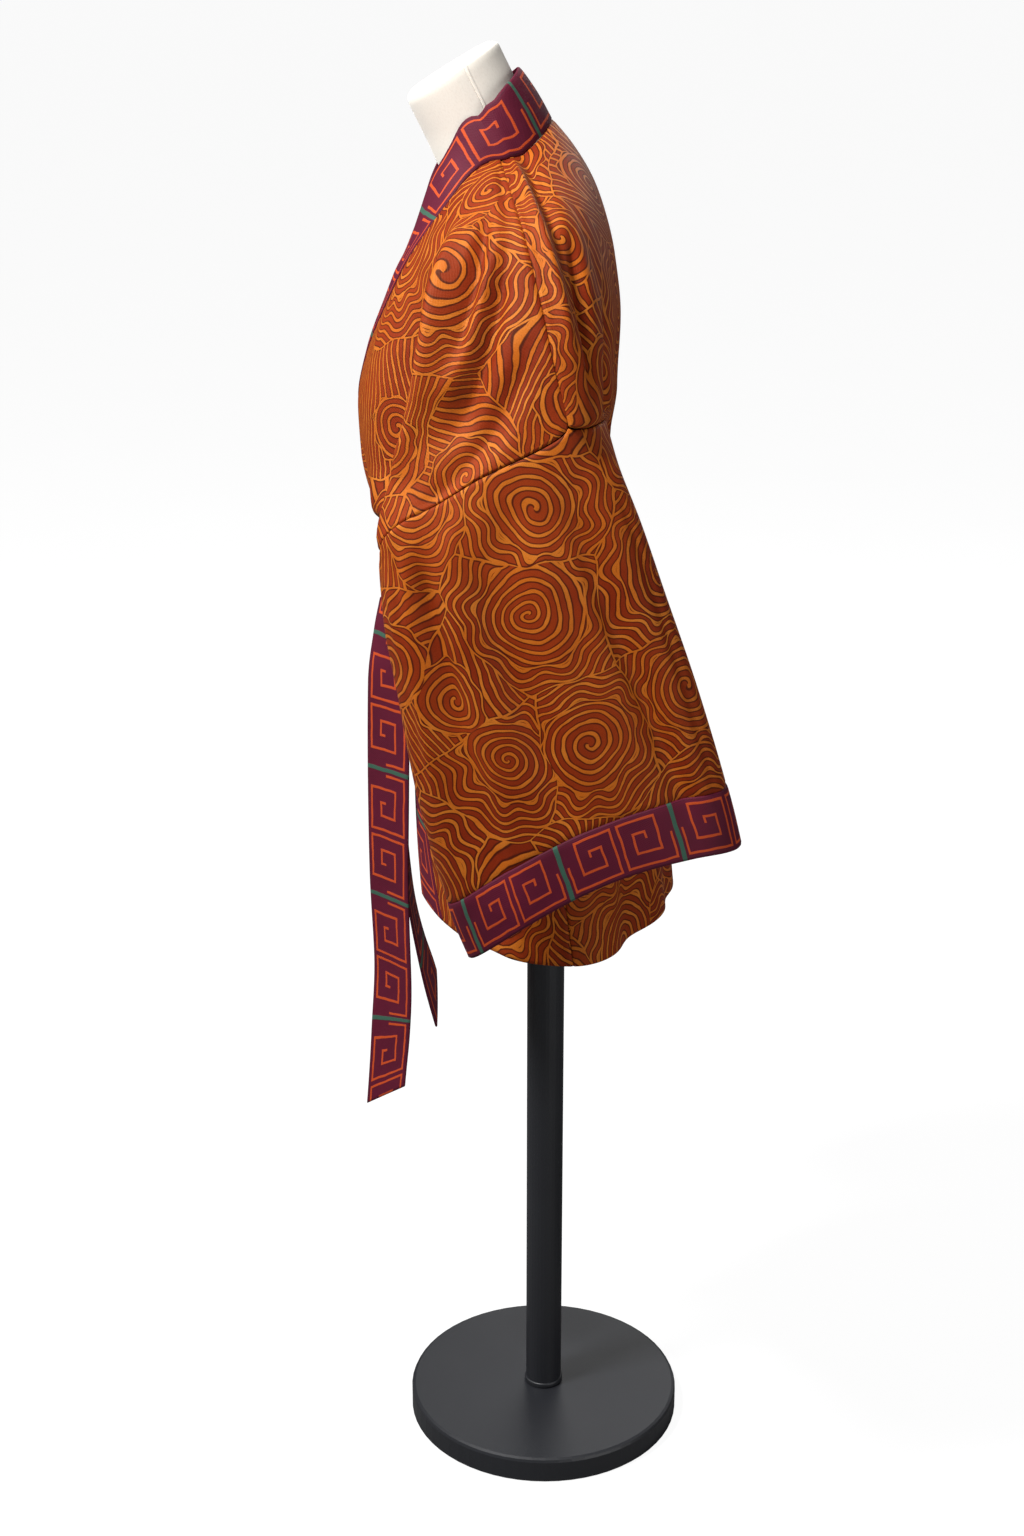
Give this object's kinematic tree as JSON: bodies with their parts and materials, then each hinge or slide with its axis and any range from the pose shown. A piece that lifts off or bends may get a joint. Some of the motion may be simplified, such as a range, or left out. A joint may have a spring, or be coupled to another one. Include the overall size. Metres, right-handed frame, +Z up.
{
  "type": "kimono jacket on dress form",
  "caption": "Hip-length wrap jacket with wide sleeves, patterned trim and a tied belt, worn by a limbless dress form on a pole and a round base.",
  "frame": {"origin": "centre of the base's underside, on the pole's axis", "axes": "+Z up the pole; the jacket's front faces -Y; +X is the wearer's left"},
  "size_m": [0.6274, 0.3702, 1.4942],
  "materials": {
    "print": "printed cotton, matt",
    "trim": "woven key-pattern trim, matt",
    "linen": "stretched jersey over a hard form",
    "metal": "satin black powder coat"
  },
  "bodies": {
    "root": {"base_disc": "metal", "pole": "metal", "form": "linen", "back": "print", "front_left": "print", "collar_left": "trim", "sleeve_left": "print", "cuff_left": "trim", "front_right": "print", "collar_right": "trim", "sleeve_right": "print", "cuff_right": "trim", "belt": "trim", "belt_knot": "trim", "belt_end_left": "trim", "belt_end_right": "trim"}
  },
  "joints": []
}
